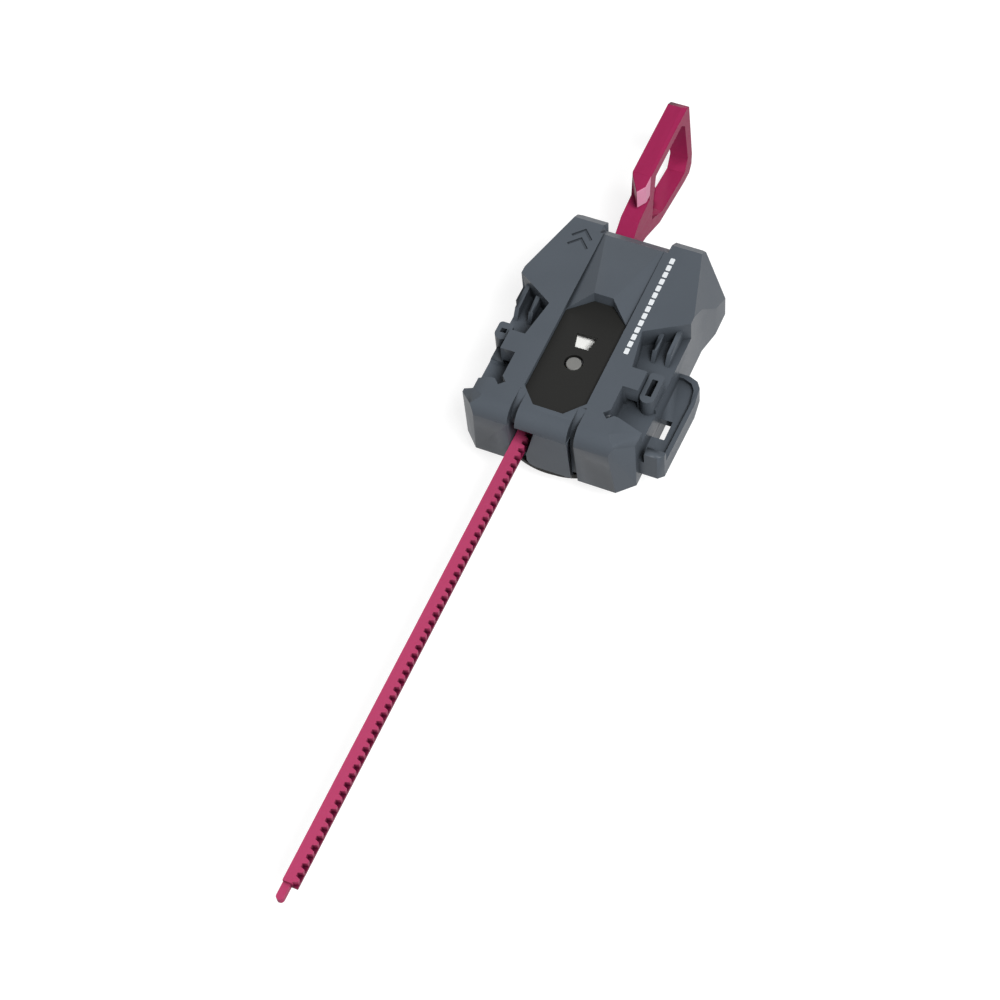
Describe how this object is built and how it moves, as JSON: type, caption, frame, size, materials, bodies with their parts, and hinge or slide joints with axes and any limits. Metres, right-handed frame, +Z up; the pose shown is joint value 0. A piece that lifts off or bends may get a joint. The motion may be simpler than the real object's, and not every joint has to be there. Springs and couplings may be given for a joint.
{
  "type": "spinning top launcher",
  "caption": "Hand launcher for spinning tops: a toothed strip with a pull ring runs through a grey body and spins a hooked head inside a round collar.",
  "frame": {"origin": "on the spin axis, in the plane of the collar's rim that the launcher stands on", "axes": "+Z up along the spin axis, +Y towards the pull ring along the toothed strip, +X to the side with the strap lug"},
  "size_m": [0.0564, 0.253, 0.0319],
  "materials": {
    "shell": "satin moulded grey plastic",
    "black_plastic": "matt black plastic",
    "white_plastic": "white plastic",
    "magenta": "glossy magenta plastic",
    "button": "grey plastic",
    "steel": "turned steel",
    "brass": "turned brass"
  },
  "bodies": {
    "housing": {"upper_housing": "shell", "lower_housing": "shell", "top_plate": "black_plastic", "gear_cover": "black_plastic", "gear_cover_screws": "steel", "upper_bush": "brass", "lower_bush": "brass", "hub_collar": "black_plastic", "collar_screws": "steel", "housing_screws": "steel"},
    "hub": {"launch_head": "black_plastic", "hub_shaft": "steel", "drive_gear": "white_plastic", "rotor_disc": "white_plastic", "thrust_washer": "steel", "retaining_clip": "steel", "spring_stop": "brass"},
    "plunger": {"plunger": "steel", "plunger_cap": "button", "plunger_spring": "steel"},
    "winder": {"winder": "magenta"}
  },
  "joints": [
    {"name": "winder_slide", "type": "slide", "parent": "housing", "child": "winder", "axis": [0, 1, 0], "range_m": [0, 0.15]},
    {"name": "hub_spin", "type": "hinge", "parent": "housing", "child": "hub", "pos_m": [0, 0, 0.0155], "axis": [0, 0, 1], "continuous": true},
    {"name": "plunger_press", "type": "slide", "parent": "hub", "child": "plunger", "axis": [0, 0, 1], "range_m": [0, 0.0022], "stiffness_N_per_m": 60, "springref_m": -0.004, "deforming": ["plunger_spring"]}
  ],
  "couplings": [
    {"joint": "hub_spin", "follows": "winder_slide", "rad_per_m": -166.66}
  ]
}
